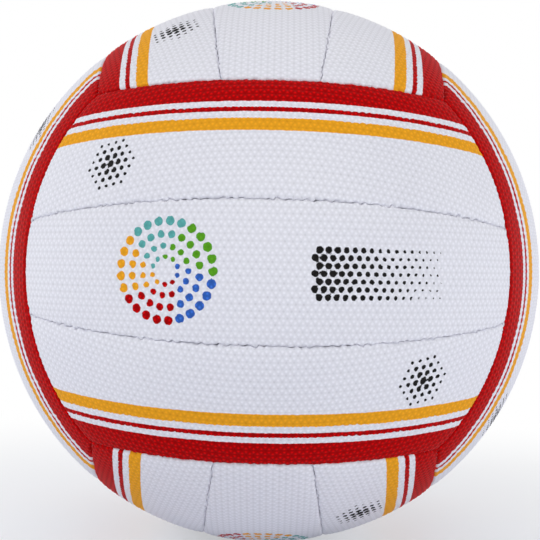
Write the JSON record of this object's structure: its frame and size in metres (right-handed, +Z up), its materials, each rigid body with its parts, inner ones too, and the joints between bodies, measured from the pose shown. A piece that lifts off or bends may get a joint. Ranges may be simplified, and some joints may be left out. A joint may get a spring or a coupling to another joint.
{
  "type": "netball",
  "caption": "Hand-stitched ball with strip panels in crossed groups, turned-in laced seams, a butyl bladder and a plug valve that takes a pump needle.",
  "frame": {"origin": "centre of the ball", "axes": "-Y out through the middle of the front face, whose strips run along X; +Z up; +Y out through the valve"},
  "size_m": [0.2228, 0.2227, 0.2228],
  "materials": {
    "cover": "white grip rubber with moulded pimples and printed bands",
    "lining": "laminated cotton and polyester cloth",
    "thread": "waxed polyester thread",
    "bladder": "smooth butyl",
    "boot": "moulded butyl",
    "plug": "soft moulded rubber"
  },
  "bodies": {
    "ball": {"front_panel_lower": "cover", "front_panel_middle": "cover", "front_panel_upper": "cover", "back_panel_lower": "cover", "back_panel_middle": "cover", "back_panel_upper": "cover", "left_panel_front": "cover", "left_panel_middle": "cover", "left_panel_back": "cover", "right_panel_back": "cover", "right_panel_middle": "cover", "right_panel_front": "cover", "top_panel_right": "cover", "top_panel_middle": "cover", "top_panel_left": "cover", "bottom_panel_left": "cover", "bottom_panel_middle": "cover", "bottom_panel_right": "cover", "front_lining_lower": "lining", "front_lining_middle": "lining", "front_lining_upper": "lining", "back_lining_lower": "lining", "back_lining_middle": "lining", "back_lining_upper": "lining", "left_lining_front": "lining", "left_lining_middle": "lining", "left_lining_back": "lining", "right_lining_back": "lining", "right_lining_middle": "lining", "right_lining_front": "lining", "top_lining_right": "lining", "top_lining_middle": "lining", "top_lining_left": "lining", "bottom_lining_left": "lining", "bottom_lining_middle": "lining", "bottom_lining_right": "lining", "front_seam_threads": "thread", "back_seam_threads": "thread", "left_seam_threads": "thread", "right_seam_threads": "thread", "top_seam_threads": "thread", "bottom_seam_threads": "thread", "bladder": "bladder", "valve_boot": "boot"},
    "valve_plug": {"valve_insert": "plug"}
  },
  "joints": [
    {"name": "plug_pull", "type": "slide", "parent": "ball", "child": "valve_plug", "axis": [0, 1, 0], "range_m": [0, 0.024]}
  ]
}
